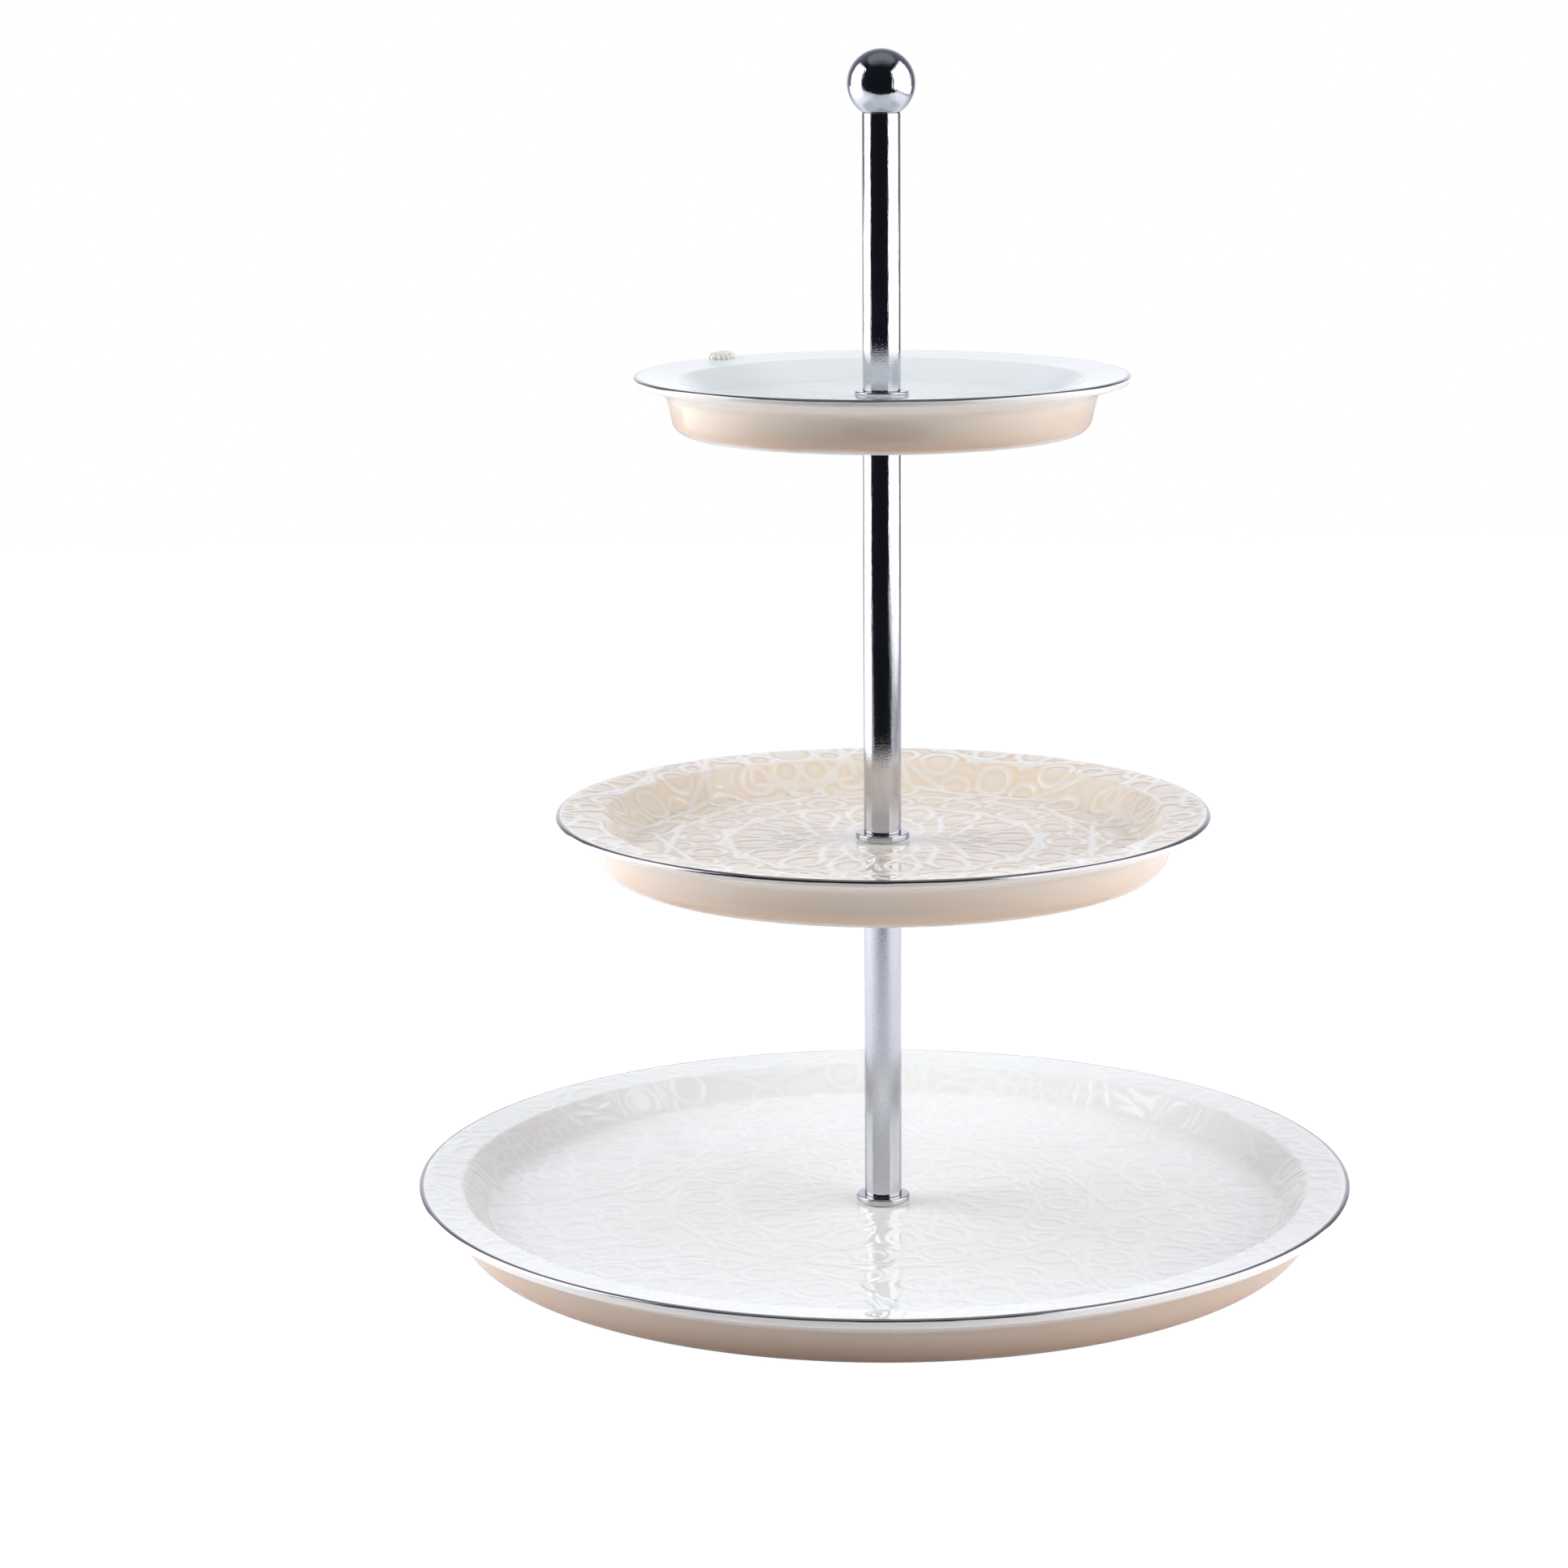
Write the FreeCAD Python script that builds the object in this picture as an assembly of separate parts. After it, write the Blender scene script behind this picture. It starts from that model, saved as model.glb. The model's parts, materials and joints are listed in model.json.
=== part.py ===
import FreeCAD, Part
import math
import os

# Tiered cake stand: three round porcelain plates threaded on one screwed column.
# Millimetres, +Z up, origin on the column's axis at the height of the table.

Vector = FreeCAD.Vector
UP = Vector(0, 0, 1)

# Plates: lip radius, height of the lip over the plate's own foot, depth of the well, and the
# height of that foot over the table. The flange's underside falls by under_fall from the lip to
# the outer wall, which starts wall_top in from the lip, meets the foot's level wall_foot in from
# it, and turns under with the radius foot_round.
BOTTOM = {
    "lip_r": 150.4,
    "height": 20.0,
    "depth": 10.4,
    "foot_z": 0.0,
    "lip_thick": 2.8,
    "under_fall": 4.2,
    "wall_top": 10.8,
    "wall_foot": 11.6,
    "wall_fillet": 3.2,
    "foot_round": 11.0,
}
MIDDLE = {
    "lip_r": 104.2,
    "height": 19.0,
    "depth": 10.1,
    "foot_z": 120.8,
    "lip_thick": 2.4,
    "under_fall": 3.2,
    "wall_top": 11.2,
    "wall_foot": 13.8,
    "wall_fillet": 3.0,
    "foot_round": 8.2,
}
TOP = {
    "lip_r": 77.9,
    "height": 18.5,
    "depth": 7.9,
    "foot_z": 260.25,
    "lip_thick": 2.4,
    "under_fall": 3.2,
    "wall_top": 9.9,
    "wall_foot": 12.8,
    "wall_fillet": 3.4,
    "foot_round": 6.4,
}

# Plate section, measured inwards from the lip or down from it.
LIP_ROUND = 1.15
FLANGE_W = 14.0
FLANGE_FALL = 1.5
FLANGE_ROUND = 2.5
WELL_WALL_W = 8.8
WELL_ROUND = 5.0
FOOT_W = 4.5
FOOT_INNER_ROUND = 1.2
RECESS_SLOPE = 2.0
RECESS_ROUND = 2.0
BASE_THICK = 5.0
HOLE_R = 4.0

# Column: tubes, threaded plugs, studs.
TUBE_R = 6.0
TUBE_BORE_R = 5.0
TUBE_CHAMFER = 0.3
PLUG_PRESS = 0.02
PLUG_L = 12.0
THREAD_R = 3.0
THREAD_GAP = 0.05
STUD_GRIP = 9.0
UPPER_ROD_TOP = 359.2

# Washers.
COLLAR_R = 8.6
COLLAR_T = 2.0
COLLAR_ROUND = 0.45
GASKET_R = 8.0
GASKET_T = 0.5
WASHER_R = 7.0
WASHER_T = 1.0
WASHER_BORE_R = 3.25
BASE_WASHER_R = 10.0
BASE_SOFT_T = 0.8

# Base screw.
SCREW_HEAD_R = 7.0
SCREW_HEAD_T = 1.7
SCREW_SLOT_W = 1.6
SCREW_SLOT_D = 0.9

# Ball finial.
BALL_R = 10.65
BALL_BORE_L = 9.5

# Sprig on the top plate's rim.
SPRIG_ANGLE = 132.5
SPRIG_L = 10.8
SPRIG_W = 4.6
SPRIG_RISE = 1.75
SPRIG_INSET = 2.9
SPRIG_CAP_T = 0.9
SPRIG_CAP_ROUND = 0.35
PETAL_R = 1.25
PETAL_SINK = 0.1
PETALS = 5
SPRIG_CORE_T = 2.0

# Shortest edge that is drawn between two arcs of an outline, and slack for picking edges.
SHORTEST = 1e-6
PICK_SLACK = 0.01


def floor_z(plate):
    return plate["foot_z"] + plate["height"] - plate["depth"]


def underside_z(plate):
    return floor_z(plate) - BASE_THICK


def collar_top_z(plate):
    return floor_z(plate) + GASKET_T + COLLAR_T


def rod_head_z(plate):
    """Top of the rod that carries a plate."""
    return underside_z(plate) - GASKET_T - WASHER_T


def rounded_face(corners):
    """A closed flat face in the XZ plane from (radius, height, fillet) corners."""
    points = [Vector(r, 0, z) for r, z, _ in corners]
    count = len(corners)
    starts = []
    ends = []
    edges = []
    for i, (_, _, fillet) in enumerate(corners):
        here = points[i]
        back = (points[i - 1] - here).normalize()
        ahead = (points[(i + 1) % count] - here).normalize()
        half = back.getAngle(ahead) / 2
        reach = fillet / math.tan(half)
        starts.append(here + back * reach)
        ends.append(here + ahead * reach)
        if fillet > 0:
            bisector = (back + ahead).normalize()
            middle = here + bisector * (fillet / math.sin(half) - fillet)
            edges.append(Part.Arc(starts[i], middle, ends[i]).toShape())
    for i in range(count):
        begin = ends[i]
        finish = starts[(i + 1) % count]
        if begin.distanceToPoint(finish) > SHORTEST:
            edges.append(Part.LineSegment(begin, finish).toShape())
    return Part.Face(Part.Wire(Part.__sortEdges__(edges)))


def turned(corners):
    return rounded_face(corners).revolve(Vector(0, 0, 0), UP, 360)


def ring(inner_r, outer_r, low, high, rounding=0.0):
    """A washer, plug or tube about the column's axis; its outer edges may be rounded."""
    corners = [
        (inner_r, low, 0),
        (outer_r, low, rounding),
        (outer_r, high, rounding),
        (inner_r, high, 0),
    ]
    return turned(corners)


def rod_of(radius, low, high, chamfer=0.0):
    """A plain turned bar about the column's axis."""
    corners = [(0, low, 0), (radius - chamfer, low, 0), (radius - chamfer, high, 0), (0, high, 0)]
    if chamfer > 0:
        corners[2:2] = [(radius, low + chamfer, 0), (radius, high - chamfer, 0)]
    return turned(corners)


def make_plate(plate):
    """A plate with a sloping flange, a flat well, an upright outer wall and a foot ring."""
    lip_r = plate["lip_r"]
    foot = plate["foot_z"]
    lip = foot + plate["height"]
    floor = floor_z(plate)
    under = underside_z(plate)
    well_edge_r = lip_r - FLANGE_W
    foot_inner_r = lip_r - plate["wall_foot"] - plate["foot_round"] - FOOT_W
    corners = [
        (HOLE_R, floor, 0),
        (well_edge_r - WELL_WALL_W, floor, WELL_ROUND),
        (well_edge_r, lip - FLANGE_FALL, FLANGE_ROUND),
        (lip_r, lip, LIP_ROUND),
        (lip_r, lip - plate["lip_thick"], LIP_ROUND),
        (lip_r - plate["wall_top"], lip - plate["lip_thick"] - plate["under_fall"], plate["wall_fillet"]),
        (lip_r - plate["wall_foot"], foot, plate["foot_round"]),
        (foot_inner_r, foot, FOOT_INNER_ROUND),
        (foot_inner_r - RECESS_SLOPE, under, RECESS_ROUND),
        (HOLE_R, under, 0),
    ]
    return turned(corners)


def make_tube(low, high):
    corners = [
        (TUBE_BORE_R, low, 0),
        (TUBE_R - TUBE_CHAMFER, low, 0),
        (TUBE_R, low + TUBE_CHAMFER, 0),
        (TUBE_R, high - TUBE_CHAMFER, 0),
        (TUBE_R - TUBE_CHAMFER, high, 0),
        (TUBE_BORE_R, high, 0),
    ]
    return turned(corners)


def make_plug(low, high):
    return ring(THREAD_R, TUBE_BORE_R + PLUG_PRESS, low, high)


def make_stud(low, high):
    return rod_of(THREAD_R - THREAD_GAP, low, high, TUBE_CHAMFER)


def make_base_screw(head_top, tip):
    head_low = head_top - SCREW_HEAD_T
    head = ring(0, SCREW_HEAD_R, head_low, head_top, COLLAR_ROUND)
    shank = rod_of(THREAD_R - THREAD_GAP, head_top, tip)
    slot_l = 3 * SCREW_HEAD_R
    slot_corner = Vector(-slot_l / 2, -SCREW_SLOT_W / 2, head_low - SCREW_SLOT_D)
    slot = Part.makeBox(slot_l, SCREW_SLOT_W, 2 * SCREW_SLOT_D, slot_corner)
    return head.fuse(shank).cut(slot).removeSplitter()


def make_ball(seat):
    """A ball with a flat seat as wide as the tube's end, and a blind threaded hole."""
    seat_r = TUBE_R - TUBE_CHAMFER
    centre = seat + math.sqrt(BALL_R**2 - seat_r**2)
    ball = Part.makeSphere(BALL_R, Vector(0, 0, centre))
    below = Part.makeCylinder(BALL_R, BALL_R, Vector(0, 0, seat - BALL_R))
    hole = Part.makeCylinder(THREAD_R, BALL_BORE_L, Vector(0, 0, seat))
    return ball.cut(below).cut(hole)


def make_sprig(plate_solid):
    """A small oval sprig with a scalloped edge, lying along the top plate's rim."""
    lip = TOP["foot_z"] + TOP["height"]
    half_l = (SPRIG_L - SPRIG_W) / 2
    end_r = SPRIG_W / 2
    cap_low = lip + SPRIG_RISE - SPRIG_CAP_T
    cap = Part.makeBox(SPRIG_W, 2 * half_l, SPRIG_CAP_T, Vector(-end_r, -half_l, cap_low))
    for side in (-1, 1):
        cap = cap.fuse(Part.makeCylinder(end_r, SPRIG_CAP_T, Vector(0, side * half_l, cap_low)))
    cap = cap.removeSplitter()
    top_edges = [e for e in cap.Edges if e.BoundBox.ZMin > cap_low + SPRIG_CAP_T - PICK_SLACK]
    cap = cap.makeFillet(SPRIG_CAP_ROUND, top_edges)
    petals = []
    for side in (-1, 1):
        for i in range(PETALS):
            along = (2 * i / (PETALS - 1) - 1) * half_l
            place = Vector(side * (end_r - PETAL_R), along, cap_low - PETAL_SINK)
            petals.append(Part.makeSphere(PETAL_R, place))
    core_low = cap_low + PETAL_SINK - SPRIG_CORE_T
    core_w = SPRIG_W - 2 * PETAL_R
    core = Part.makeBox(core_w, 2 * half_l, SPRIG_CORE_T, Vector(-core_w / 2, -half_l, core_low))
    sprig = cap.multiFuse(petals + [core])
    sprig.rotate(Vector(0, 0, 0), UP, SPRIG_ANGLE)
    spoke = TOP["lip_r"] - SPRIG_INSET
    angle = math.radians(SPRIG_ANGLE)
    sprig.translate(Vector(spoke * math.cos(angle), spoke * math.sin(angle), 0))
    return sprig.cut(plate_solid)


def make_rods():
    """The three rods with their pressed-in plugs, and the studs that join them."""
    spans = {
        "lower_rod": (collar_top_z(BOTTOM), rod_head_z(MIDDLE)),
        "middle_rod": (collar_top_z(MIDDLE), rod_head_z(TOP)),
        "upper_rod": (collar_top_z(TOP), UPPER_ROD_TOP),
    }
    nodes = {}
    for name, (low, high) in spans.items():
        nodes[name] = make_tube(low, high)
        nodes[name + "_foot_insert"] = make_plug(low, low + PLUG_L)
        nodes[name + "_head_insert"] = make_plug(high - PLUG_L, high)
    joints = {
        "middle_stud": (spans["lower_rod"][1], spans["middle_rod"][0]),
        "top_stud": (spans["middle_rod"][1], spans["upper_rod"][0]),
        "finial_stud": (UPPER_ROD_TOP, UPPER_ROD_TOP),
    }
    for name, (below, above) in joints.items():
        nodes[name] = make_stud(below - STUD_GRIP, above + STUD_GRIP)
    return nodes


def make_washers():
    """Collars and soft washers in the wells, and the washers under the two upper plates."""
    nodes = {}
    upper_gaskets = {"bottom": "bottom_gasket", "middle": "middle_upper_gasket", "top": "top_upper_gasket"}
    for tier, plate in (("bottom", BOTTOM), ("middle", MIDDLE), ("top", TOP)):
        seat = floor_z(plate)
        nodes[upper_gaskets[tier]] = ring(WASHER_BORE_R, GASKET_R, seat, seat + GASKET_T)
        nodes[tier + "_collar"] = ring(
            WASHER_BORE_R, COLLAR_R, seat + GASKET_T, seat + GASKET_T + COLLAR_T, COLLAR_ROUND
        )
    for tier, plate in (("middle", MIDDLE), ("top", TOP)):
        seat = underside_z(plate)
        low = seat - GASKET_T - WASHER_T
        nodes[tier + "_lower_gasket"] = ring(WASHER_BORE_R, WASHER_R, seat - GASKET_T, seat)
        nodes[tier + "_washer"] = ring(WASHER_BORE_R, WASHER_R, low, low + WASHER_T)
    return nodes


def make_base_hardware():
    seat = underside_z(BOTTOM)
    soft_low = seat - BASE_SOFT_T
    washer_low = soft_low - WASHER_T
    tip = collar_top_z(BOTTOM) + STUD_GRIP
    return {
        "base_soft_washer": ring(WASHER_BORE_R, BASE_WASHER_R, soft_low, seat),
        "base_washer": ring(WASHER_BORE_R, BASE_WASHER_R, washer_low, soft_low),
        "base_screw": make_base_screw(washer_low, tip),
    }


def make_nodes():
    top_plate = make_plate(TOP)
    nodes = {
        "bottom_plate": make_plate(BOTTOM),
        "middle_plate": make_plate(MIDDLE),
        "top_plate": top_plate,
        "rim_ornament": make_sprig(top_plate),
        "ball_finial": make_ball(UPPER_ROD_TOP),
    }
    nodes.update(make_rods())
    nodes.update(make_washers())
    nodes.update(make_base_hardware())
    return nodes


os.makedirs("parts", exist_ok=True)
for node, shape in make_nodes().items():
    solids = shape.Solids
    print(node, "valid" if shape.isValid() else "INVALID", len(solids), round(shape.Volume / 1000, 3), "cm3")
    shape.exportStep("parts/" + node + ".step")
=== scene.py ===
import json
import math

import bpy
import numpy as np
from mathutils import Matrix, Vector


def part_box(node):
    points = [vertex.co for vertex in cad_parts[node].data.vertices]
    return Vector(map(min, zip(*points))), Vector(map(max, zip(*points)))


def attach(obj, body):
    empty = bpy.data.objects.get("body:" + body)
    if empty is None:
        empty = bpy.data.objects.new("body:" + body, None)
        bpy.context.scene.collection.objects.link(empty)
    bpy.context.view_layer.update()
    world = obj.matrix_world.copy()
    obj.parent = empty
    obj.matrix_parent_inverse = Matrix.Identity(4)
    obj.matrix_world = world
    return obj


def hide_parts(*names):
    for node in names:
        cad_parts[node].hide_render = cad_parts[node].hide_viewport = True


# Looks of the tiered cake stand, in metres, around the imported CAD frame.

MM = 0.001

# Plate sections in millimetres, as in the CAD source: height of the plate, depth of the well,
# thickness of the lip, fall of the flange's underside, how far in from the lip the outer wall
# starts and meets the foot's level, and the rounding at both ends of that wall. The relief is
# the height and the ridge width of the moulded pattern.
SECTIONS = {
    "bottom_plate": {
        "height": 20.0,
        "depth": 10.4,
        "lip_thick": 2.8,
        "under_fall": 4.2,
        "wall_top": 10.8,
        "wall_foot": 11.6,
        "wall_fillet": 3.2,
        "foot_round": 11.0,
        "relief": (0.25, 1.6),
    },
    "middle_plate": {
        "height": 19.0,
        "depth": 10.1,
        "lip_thick": 2.4,
        "under_fall": 3.2,
        "wall_top": 11.2,
        "wall_foot": 13.8,
        "wall_fillet": 3.0,
        "foot_round": 8.2,
        "relief": (0.34, 1.3),
    },
    "top_plate": {
        "height": 18.5,
        "depth": 7.9,
        "lip_thick": 2.4,
        "under_fall": 3.2,
        "wall_top": 9.9,
        "wall_foot": 12.8,
        "wall_fillet": 3.4,
        "foot_round": 6.4,
        "relief": None,
    },
}
LIP_ROUND = 1.15
FLANGE_W = 14.0
FLANGE_FALL = 1.5
FLANGE_ROUND = 2.5
WELL_WALL_W = 8.8
WELL_ROUND = 5.0
FOOT_W = 4.5
FOOT_INNER_ROUND = 1.2
RECESS_SLOPE = 2.0
RECESS_ROUND = 2.0
BASE_THICK = 5.0
HOLE_R = 4.0

# Moulded pattern of the two lower plates, in millimetres measured along the plate's face:
# sixteen-petal rosettes on a square lattice, with an eight-fold star between four of them.
LATTICE = 144.6
LATTICE_TURN = math.radians(152.3)
PETALS = 16
PETAL_STEP = 2 * math.pi / PETALS
# The thinly glazed crest's half width and the narrowing on the well's wall are shares of the
# ridge's width. The flats between ridges lie on the CAD surface, at a share of the relief's height,
# and FLAT_RANGE is how far from a ridge they start and are level.
RIDGE_BARE = 0.95
CELL_SQUARENESS = 2.25
PETAL_SQUARENESS = 1.7
WALL_NARROWING = 0.15
FLAT_HEIGHT = 0.35
FLAT_RANGE = (1.4, 3.8)

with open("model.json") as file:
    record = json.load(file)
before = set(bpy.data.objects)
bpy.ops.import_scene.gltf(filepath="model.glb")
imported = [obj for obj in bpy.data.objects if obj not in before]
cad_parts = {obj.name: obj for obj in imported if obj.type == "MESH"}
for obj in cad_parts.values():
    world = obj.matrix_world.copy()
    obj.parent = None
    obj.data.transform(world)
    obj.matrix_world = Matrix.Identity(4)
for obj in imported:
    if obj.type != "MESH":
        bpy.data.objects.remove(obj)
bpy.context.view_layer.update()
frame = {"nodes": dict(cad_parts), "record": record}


# ---------------------------------------------------------------- sections and turned meshes

def rounded(corners, arc_step=0.35):
    """Points along a line through (r, z, fillet) corners, with each fillet as an arc. Ends stay sharp."""
    points = [np.array(corners[0][:2], float)]
    for i in range(1, len(corners) - 1):
        here = np.array(corners[i][:2], float)
        fillet = corners[i][2]
        back = np.array(corners[i - 1][:2], float) - here
        ahead = np.array(corners[i + 1][:2], float) - here
        back /= np.linalg.norm(back)
        ahead /= np.linalg.norm(ahead)
        half = math.acos(max(-1.0, min(1.0, float(back @ ahead)))) / 2
        if fillet <= 0:
            points.append(here)
            continue
        bisector = (back + ahead) / np.linalg.norm(back + ahead)
        centre = here + bisector * fillet / math.sin(half)
        start = here + back * fillet / math.tan(half) - centre
        finish = here + ahead * fillet / math.tan(half) - centre
        sweep = math.pi - 2 * half
        turn = math.copysign(1.0, start[0] * finish[1] - start[1] * finish[0])
        count = max(3, int(math.ceil(sweep * fillet / arc_step)))
        for k in range(count + 1):
            a = turn * sweep * k / count
            rotated = (
                start[0] * math.cos(a) - start[1] * math.sin(a),
                start[0] * math.sin(a) + start[1] * math.cos(a),
            )
            points.append(centre + np.array(rotated))
    points.append(np.array(corners[-1][:2], float))
    return np.array(points)


def divided(line, steps):
    """The line with its long runs divided, each by its own longest step."""
    out = [line[0]]
    for here, ahead, step in zip(line[:-1], line[1:], steps):
        count = max(1, int(math.ceil(np.linalg.norm(ahead - here) / step - 1e-6)))
        out += [here + (ahead - here) * k / count for k in range(1, count + 1)]
    return np.array(out)


def ring_faces(low, low_count, high, high_count):
    """Faces between two rings of vertices with their own counts, starting at vertices low and high."""
    if low_count == 1:
        return [[low, high + (i + 1) % high_count, high + i] for i in range(high_count)]
    if high_count == 1:
        return [[low + i, low + (i + 1) % low_count, high] for i in range(low_count)]
    if low_count == high_count:
        i = np.arange(low_count)
        j = (i + 1) % low_count
        return np.c_[low + i, low + j, high + j, high + i].tolist()
    faces = []
    a, b = 0, 0
    while a < low_count or b < high_count:
        if b >= high_count or (a < low_count and (a + 1) * high_count <= (b + 1) * low_count):
            faces.append([low + a % low_count, low + (a + 1) % low_count, high + b % high_count])
            a += 1
        else:
            faces.append([low + a % low_count, high + (b + 1) % high_count, high + b % high_count])
            b += 1
    return faces


def turned_mesh(section, counts, closed=True):
    """Vertices, angles, rows and faces of a revolved line of (r, z) points, with one count per point."""
    starts = np.r_[0, np.cumsum(counts)].astype(int)
    radius = np.repeat(section[:, 0], counts)
    height = np.repeat(section[:, 1], counts)
    angle = np.concatenate([np.arange(n) * 2 * math.pi / n for n in counts])
    faces = []
    rows = len(section)
    for i in range(rows if closed else rows - 1):
        j = (i + 1) % rows
        faces += ring_faces(starts[i], counts[i], starts[j], counts[j])
    co = np.c_[radius * np.cos(angle), radius * np.sin(angle), height]
    return co, angle, np.repeat(np.arange(rows), counts), faces


def new_object(name, co, faces, smooth=True):
    mesh = bpy.data.meshes.new(name)
    mesh.from_pydata((co * MM).tolist(), [], faces)
    mesh.validate()
    mesh.polygons.foreach_set("use_smooth", [smooth] * len(mesh.polygons))
    mesh.update()
    piece = bpy.data.objects.new(name, mesh)
    bpy.context.scene.collection.objects.link(piece)
    return piece


def set_attribute(piece, name, values):
    attribute = piece.data.attributes.new(name, "FLOAT", "POINT")
    attribute.data.foreach_set("value", np.asarray(values, np.float32))


# ---------------------------------------------------------------- moulded pattern

def bell(distance, width):
    return np.exp(-((distance / width) ** 2))


def smooth(t):
    t = np.clip(t, 0.0, 1.0)
    return t * t * (3 - 2 * t)


def bulge(x, y, squareness):
    """Distance from the origin, as a superellipse measures it."""
    return (np.abs(x) ** squareness + np.abs(y) ** squareness) ** (1 / squareness)


def fade(value, start, end):
    """Rises smoothly from 0 to 1 as a value goes from start to end."""
    return smooth((value - start) / (end - start))


def polar(r, a):
    return r * math.cos(a), r * math.sin(a)


class Net:
    """Distance in millimetres from the nearest ridge line, at folded pattern points."""

    def __init__(self, x, y):
        self.x = x
        self.y = y
        self.gap = np.full_like(x, 99.0)

    def add(self, gap):
        self.gap = np.minimum(self.gap, gap)

    def local(self, r, a):
        """Coordinates outwards and across, from the point at polar (r, a)."""
        cx, cy = polar(r, a)
        ux, uy = math.cos(a), math.sin(a)
        out = (self.x - cx) * ux + (self.y - cy) * uy
        across = -(self.x - cx) * uy + (self.y - cy) * ux
        return out, across

    def cell(self, r, a, radius):
        """A closed ridge, nearly a circle, round the point at polar (r, a)."""
        out, across = self.local(r, a)
        self.add(np.abs(bulge(out, across, CELL_SQUARENESS) - radius))

    def petal(self, r, a, half_length, half_width):
        """A closed ridge with slightly pointed ends, round the point at polar (r, a)."""
        out, across = self.local(r, a)
        q = bulge(out / half_length, across / half_width, PETAL_SQUARENESS)
        self.add(np.abs(q - 1) * half_width * 1.15)

    def tangent(self, d, a, half):
        """A straight ridge that touches the circle of radius d at angle a."""
        ux, uy = math.cos(a), math.sin(a)
        off = np.abs(self.x * ux + self.y * uy - d)
        past = np.maximum(np.abs(-self.x * uy + self.y * ux) - half, 0.0)
        self.add(np.hypot(off, past))

    def strut(self, start, finish, thin=0.0):
        """A straight ridge between two polar points; thin lowers and narrows it."""
        x0, y0 = polar(*start)
        x1, y1 = polar(*finish)
        dx, dy = x1 - x0, y1 - y0
        along = ((self.x - x0) * dx + (self.y - y0) * dy) / (dx * dx + dy * dy)
        along = np.clip(along, 0, 1)
        self.add(np.hypot(self.x - x0 - along * dx, self.y - y0 - along * dy) + thin)


def folded(angle, step):
    """Angle from the nearest multiple of step."""
    return np.abs((angle + step / 2) % step - step / 2)


def ridge_gap(reach, angle):
    """Distance from the nearest ridge, at a distance along the plate's face and an angle."""
    turn = angle - LATTICE_TURN
    u = reach * np.cos(turn)
    v = reach * np.sin(turn)
    u = np.abs(u - LATTICE * np.round(u / LATTICE))
    v = np.abs(v - LATTICE * np.round(v / LATTICE))
    u, v = np.maximum(u, v), np.minimum(u, v)

    # The rosette: its petals lie half a step off the lattice's own directions.
    r = np.hypot(u, v)
    a = folded(np.arctan2(v, u), PETAL_STEP)
    half = PETAL_STEP / 2
    hub, fork, waist, cross, knot, tip, crown = 10.5, 13.2, 16.8, 21.2, 24.8, 31.4, 34.0
    rosette = Net(r * np.cos(a), r * np.sin(a))
    rosette.petal(41.2, half, 9.0, 5.3)
    rosette.strut((knot, 0), (tip, half))
    rosette.strut((knot, 0), (cross, half))
    rosette.strut((knot, 0), (crown, 0), 0.15)
    rosette.strut((crown, 0), (45.0, half * 0.34), 0.1)
    rosette.strut((waist, 0), (cross, half), 0.2)
    rosette.strut((waist, 0), (fork, half), 0.35)
    rosette.strut((hub, 0), (fork, half), 0.5)
    for i in (-1, 1, 3):
        rosette.tangent(48.8, i * half, 22)
    for i in (-1, 0, 1):
        rosette.tangent(66.8, i * PETAL_STEP, 25)
    rosette.cell(58.6, 0, 5.7)
    rosette.cell(65.0, half, 4.6)

    # The cells that two rosettes share, and the star between four of them.
    edge = LATTICE / 2
    border = Net(u, v)
    for across, radius in ((0.0, 6.0), (29.9, 5.9), (48.0, 5.2)):
        border.cell(math.hypot(edge, across), math.atan2(across, edge), radius)
    star_r = np.hypot(edge - u, edge - v)
    star_a = folded(np.arctan2(edge - v, edge - u), math.pi / 4)
    star = Net(star_r * np.cos(star_a), star_r * np.sin(star_a))
    star.cell(0.0, 0.0, 8.4)
    star.cell(13.9, math.pi / 8, 4.6)
    star.cell(24.2, 0.0, 5.4)
    for i in (-1, 0, 1):
        star.tangent(18.6, i * math.pi / 4, 17)
    return np.minimum(np.minimum(rosette.gap, border.gap), star.gap)


def pattern(reach, angle, ridge_w):
    """Height of the face, 0 to 1, and how much glaze has pooled on it, 0 to 1."""
    gap = ridge_gap(reach, angle)
    ridge = bell(gap, ridge_w)
    flat = fade(gap, *FLAT_RANGE)
    height = ridge + FLAT_HEIGHT * flat * (1 - ridge)
    bare = np.exp(-((gap / (RIDGE_BARE * ridge_w)) ** 4))
    pooled = (1 - bare) * (1 - 0.6 * flat)
    return height, pooled


# ---------------------------------------------------------------- plates

FACE_STEP = 0.6
COARSE_STEP = 2.5
RING_COUNTS = [48 * k for k in (1, 2, 3, 4, 6, 8, 12, 16, 20, 24, 28, 32)]
UNDER_COUNT = 384
INNER_COUNT = 96
INNER_R = 40
# Where the relief comes up outside the collar, where it reaches its full height from the share
# that the rosette's middle has, and how far before the rim it is gone.
COLLAR_FADE = (9.5, 15.5)
HUB_SHARE = 0.45
HUB_FADE = (15.0, 29.0)
LIP_FADE = (1.8, 4.4)


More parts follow.
